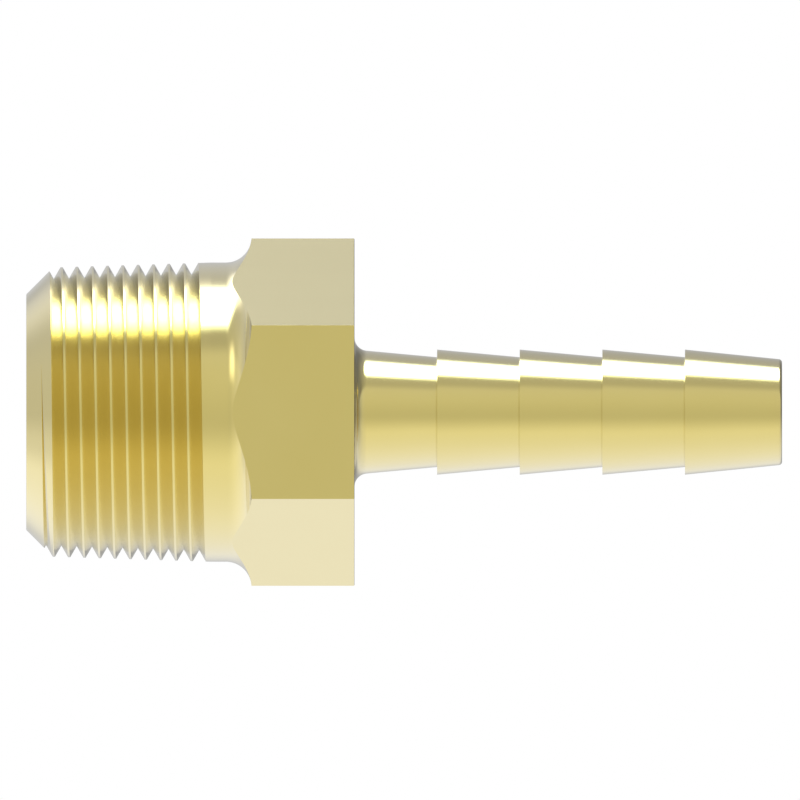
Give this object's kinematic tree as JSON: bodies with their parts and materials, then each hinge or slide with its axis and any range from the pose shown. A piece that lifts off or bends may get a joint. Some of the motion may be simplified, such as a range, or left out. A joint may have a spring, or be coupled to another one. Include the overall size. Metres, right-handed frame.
{
  "type": "hose nipple",
  "caption": "Straight hose nipple in one piece: tapered male pipe thread, wrench hexagon and barbed hose shank, bored right through.",
  "frame": {"origin": "centre of the flat end face at the thread end, which the nipple stands on", "axes": "+Z along the bore towards the hose end; two flats of the hexagon face -Y and +Y, and two of its corners lie on the X axis"},
  "size_m": [0.0502, 0.0434, 0.109],
  "materials": {
    "brass": "smooth turned, bright"
  },
  "bodies": {
    "root": {"hose_nipple": "brass"}
  },
  "joints": []
}
